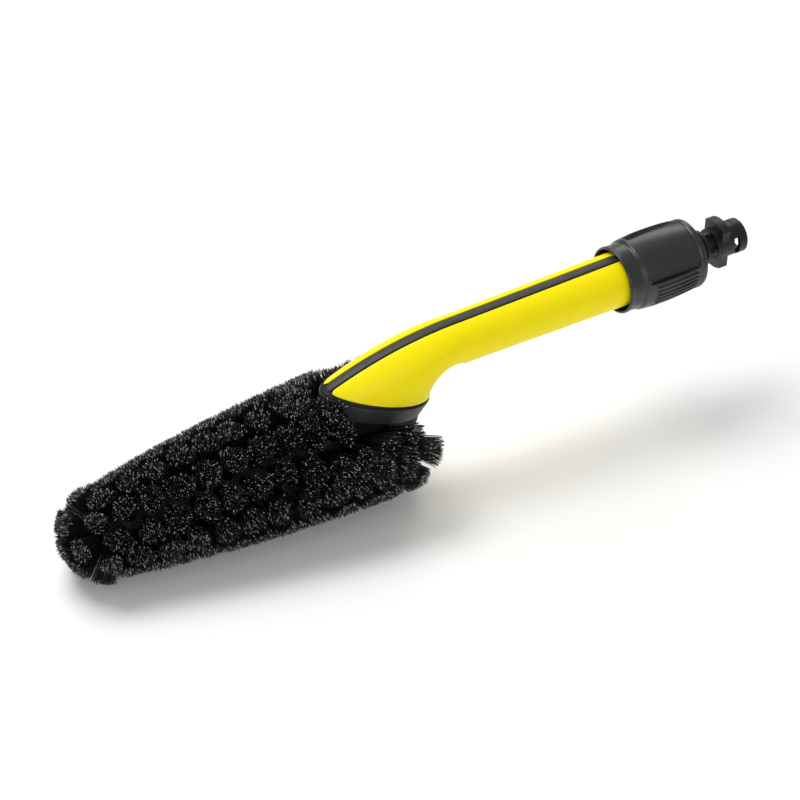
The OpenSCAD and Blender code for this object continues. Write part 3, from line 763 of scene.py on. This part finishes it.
def filaments(tuft, count):
    """Centre lines of one tuft's filaments: (count, 4, 3) points in the head's frame."""
    d = tuft["dir"] / np.linalg.norm(tuft["dir"])
    ref = np.array([1.0, 0.0, 0.0]) if abs(d[0]) < 0.9 else np.array([0.0, 0.0, 1.0])
    e1 = ref - (ref @ d) * d
    e1 /= np.linalg.norm(e1)
    e2 = np.cross(d, e1)
    if tuft["trim"] is None:
        wide1 = wide2 = TIP_SPLAY
    else:
        wide1 = SPLAY_ALONG
        wide2 = min(SPLAY_ROUND, SPLAY_SHARE * tuft["trim"])
    rad = np.sqrt((np.arange(count) + 0.5) / count)
    ang = np.arange(count) * GOLDEN + RNG.uniform(0, 6.28) + RNG.normal(0, 0.2, count)
    c, s = np.cos(ang)[:, None], np.sin(ang)[:, None]
    root_off = 0.92 * ROOT_R * rad[:, None] * (c * e1 + s * e2)
    # no two tufts open alike: their outlines are lobed, pushed aside and soft
    lobes = 1 + 0.12 * np.sin(2 * ang + RNG.uniform(0, 6.28)) + 0.09 * np.sin(3 * ang + RNG.uniform(0, 6.28))
    spread = rad ** 0.95 * lobes * RNG.uniform(0.91, 1.07) + RNG.normal(0, 0.075, count)
    push = random_offset(e1, e2, 0.8, None)
    end_off = np.clip(spread, 0, 1.3)[:, None] * (wide1 * c * e1 + wide2 * s * e2) + push
    stray = random_offset(e1, e2, 0.28, (count, 1))
    stray = stray * (1 + 2.5 * (RNG.random((count, 1)) < 0.06))
    root = tuft["origin"] + d * (tuft["start"] - SUNK) + root_off
    end = tuft["origin"] + d * tuft["reach"] + end_off + stray
    # a few steps bring each filament's end onto the trimmed shape
    for _ in range(4):
        along = end - root
        along /= np.linalg.norm(along, axis=1, keepdims=True)
        if tuft["trim"] is None:
            rel = end - np.array([DOME_X, 0.0, 0.0])
            now = np.linalg.norm(rel, axis=1)
            gap = DOME_REACH - 0.2 - now
            rate = np.maximum(0.5, np.einsum("ij,ij->i", along, rel) / now)
        else:
            now = np.hypot(end[:, 1], end[:, 2])
            angle = np.degrees(np.arctan2(-end[:, 1], end[:, 2]))
            gap = envelope(end[:, 0], angle) - now
            rate = np.maximum(0.5, (along[:, 1] * end[:, 1] + along[:, 2] * end[:, 2]) / now)
        end = end + along * (gap / rate)[:, None]
    if tuft["trim"] is not None and abs(d[0]) > 0.05:
        # leaning tufts, at the tip and the heel, get no longer than their own length, so both ends round off
        most = tuft["reach"] + 1.2
        length = np.linalg.norm(end - tuft["origin"], axis=1)
        over = np.maximum(0.0, length - most)
        end = end - along * over[:, None]
    end = end + along * RNG.normal(0.1, 0.4, (count, 1)) - along * RNG.random((count, 1)) ** 3
    length = np.linalg.norm(end - root, axis=1, keepdims=True)
    tip = 1 - RNG.uniform(0.9, 1.5, (count, 1)) / length
    ts = np.concatenate([np.zeros((count, 1)), np.full((count, 1), 0.45), tip, np.ones((count, 1))], 1)
    straight = root[:, None] * (1 - ts)[:, :, None] + end[:, None] * ts[:, :, None]
    flare = (end_off - root_off)[:, None] * (-0.13 * np.sin(np.pi * ts))[:, :, None]
    wave = random_offset(e1, e2, 0.22, (count, 1, 1))
    line = straight + flare + wave * np.sin(np.pi * ts)[:, :, None]
    line[:, 3] += random_offset(e1, e2, 0.16, (count, 1))
    return line


PER_TUFT, PER_PIECE, QUICK_SHARE = 330, 9900, 5
LOWEST = 0.0002  # in metres
FIBRE_R = (0.19, 0.25)
# Shares of the filaments whose ends are black, or else grey; the others are split and pale
BLACK_ENDS, GREY_ENDS = 0.66, 0.86


def bristle_piece(name, tufts, node):
    """All filaments of some tufts as three-sided tubes, with each end's last stretch in its own shade."""
    count = min(PER_TUFT, PER_PIECE // len(tufts)) // 1
    lines = np.concatenate([filaments(t, count) for t in tufts])
    # no filament runs into the collar: its outer part is tested at three places
    blocked = np.zeros(len(lines), bool)
    for share in (0.6, 0.8, 1.0):
        blocked |= in_foot((1 - share) * lines[:, 1] + share * lines[:, 3])
    lines = lines[~blocked]
    n, steps = lines.shape[:2]
    tangent = lines[:, -1] - lines[:, 0]
    tangent /= np.linalg.norm(tangent, axis=1, keepdims=True)
    ref = np.where(np.abs(tangent[:, :1]) < 0.8, [[1.0, 0, 0]], [[0, 1.0, 0]])
    a = np.cross(tangent, ref)
    a /= np.linalg.norm(a, axis=1, keepdims=True)
    b = np.cross(tangent, a)
    kind = RNG.random(n)
    end_kind = np.where(kind < BLACK_ENDS, 0, np.where(kind < GREY_ENDS, 1, 2))
    taper = np.tile(np.array([1.0, 1.0, 0.92, 0.6]), (n, 1))
    taper[end_kind == 2, 3] = 1.25
    size = taper * RNG.uniform(*FIBRE_R, (n, 1))
    corner_at = np.radians([0, 120, 240])[None, :] + RNG.uniform(0, 2, (n, 1))
    cosine, sine = np.cos(corner_at)[:, None, :, None], np.sin(corner_at)[:, None, :, None]
    ring = cosine * a[:, None, None] + sine * b[:, None, None]
    pts = (lines[:, :, None] + ring * size[:, :, None, None]).reshape(-1, 3)
    body_mm = HEAD + pts @ HEAD_BASIS
    # nothing reaches under the surface that the brush lies on
    low = LOWEST - placed(body_mm)[:, 2]
    body_mm += (np.maximum(0.0, low) * 1000)[:, None] * np.array([AXIS[2], 0.0, AXIS[0]])[None, :]
    base = (np.arange(n) * steps * 3)[:, None, None]
    k = np.arange(steps - 1)[None, :, None]
    i = np.arange(3)[None, None, :]
    j = (i + 1) % 3
    near, far = base + k * 3, base + (k + 1) * 3
    quads = np.stack(np.broadcast_arrays(near + i, near + j, far + j, far + i), -1).reshape(-1, 4)
    tops = base[:, 0, 0][:, None] + (steps - 1) * 3 + np.array([0, 1, 2])[None, :]
    bottoms = base[:, 0, 0][:, None] + np.array([2, 1, 0])[None, :]
    quad_mat = np.zeros((n, steps - 1, 3), int)
    quad_mat[:, steps - 2] = end_kind[:, None]
    top_mat = np.where(end_kind == 0, 1, 2)
    index = np.concatenate([quad_mat.ravel(), top_mat, np.zeros(n, int)])
    materials = [FIBRE, FIBRE_GREY, FIBRE_PALE]
    faces = [quads, tops, bottoms]
    obj = build(name, body_mm, faces, materials=materials, index=index, sharp=0)
    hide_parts(node)


bristle_piece("bristles_tip", tip_tufts(), "tip_tufts")
bristle_piece("bristles_front", tufts_of(1, 6), "front_tufts")
bristle_piece("bristles_middle", tufts_of(7, 12), "middle_tufts")
bristle_piece("bristles_rear", tufts_of(13, 18) + collar_tufts(), "rear_tufts")
bristle_piece("bristles_heel", tufts_of(19, 24), "heel_tufts")

# ---- Floor, lights and camera ----

floor_mesh = bpy.data.meshes.new("floor")
floor_mesh.from_pydata([(-4, -4, 0), (4, -4, 0), (4, 4, 0), (-4, 4, 0)], [], [(0, 1, 2, 3)])
floor = bpy.data.objects.new("floor", floor_mesh)
floor.location.z = -0.0005
bpy.context.scene.collection.objects.link(floor)
mat, tree, shader = new_material("floor_paper")
shader.inputs["Base Color"].default_value = (0.97, 0.97, 0.97, 1)
shader.inputs["Roughness"].default_value = 0.9
shader.inputs["Specular IOR Level"].default_value = 0.1
floor_mesh.materials.append(mat)

world = bpy.data.worlds.new("studio")
world.use_nodes = True
world.node_tree.nodes["Background"].inputs["Color"].default_value = (1, 1, 1, 1)
world.node_tree.nodes["Background"].inputs["Strength"].default_value = 0.40
bpy.context.scene.world = world


def frame_matrix(x, y, z, origin):
    """Matrix whose columns are these axes and this origin."""
    rows = [[x[k], y[k], z[k], origin[k]] for k in range(3)]
    return Matrix(rows + [[0, 0, 0, 1]])


def softbox(name, pos, target, size, energy):
    """An area light that faces its target."""
    data = bpy.data.lights.new(name, "AREA")
    data.shape = "RECTANGLE"
    data.size, data.size_y = size
    data.energy = energy
    obj = bpy.data.objects.new(name, data)
    p, t = np.array(pos, float), np.array(target, float)
    z = (p - t) / np.linalg.norm(p - t)
    x = np.cross([0, 0, 1.0], z)
    if np.linalg.norm(x) < 1e-6:
        x = np.array([1.0, 0, 0])
    x /= np.linalg.norm(x)
    y = np.cross(z, x)
    obj.matrix_world = frame_matrix(x, y, z, p)
    bpy.context.scene.collection.objects.link(obj)


softbox("key", (-0.35, 0.6, 1.3), (-0.03, 0, 0.05), (0.9, 0.7), 15.0)
softbox("front", (-0.5, -1.3, 0.8), (0, 0, 0.05), (1.3, 0.6), 6.6)
softbox("rim", (0.75, 0.9, 0.8), (0.05, 0, 0.08), (0.9, 0.35), 3.5)

# The camera's bearing and place, in the assembly's frame
AZ, EL = math.radians(-30.0), math.radians(41.0)
BACK = np.array([math.sin(AZ) * math.cos(EL), -math.cos(AZ) * math.cos(EL), math.sin(EL)])
RIGHT = np.array([math.cos(AZ), math.sin(AZ), 0.0])
LIFT = np.cross(BACK, RIGHT)
EYE = np.array([-596.37, -798.76, 773.19])
FOCAL_SHARE = 2270.0 / 800.0  # focal length over the sensor's width
cam_data = bpy.data.cameras.new("camera")
cam_data.sensor_width = 36.0
cam_data.lens = FOCAL_SHARE * cam_data.sensor_width
cam_data.clip_start, cam_data.clip_end = 0.05, 20.0
cam = bpy.data.objects.new("camera", cam_data)
bpy.context.scene.collection.objects.link(cam)
rw, uw, bw = RIGHT @ BASIS, LIFT @ BASIS, BACK @ BASIS
eye = placed(EYE)[0]
cam.matrix_world = frame_matrix(rw, uw, bw, eye)
bpy.context.scene.camera = cam
bpy.context.scene.view_settings.view_transform = "Standard"
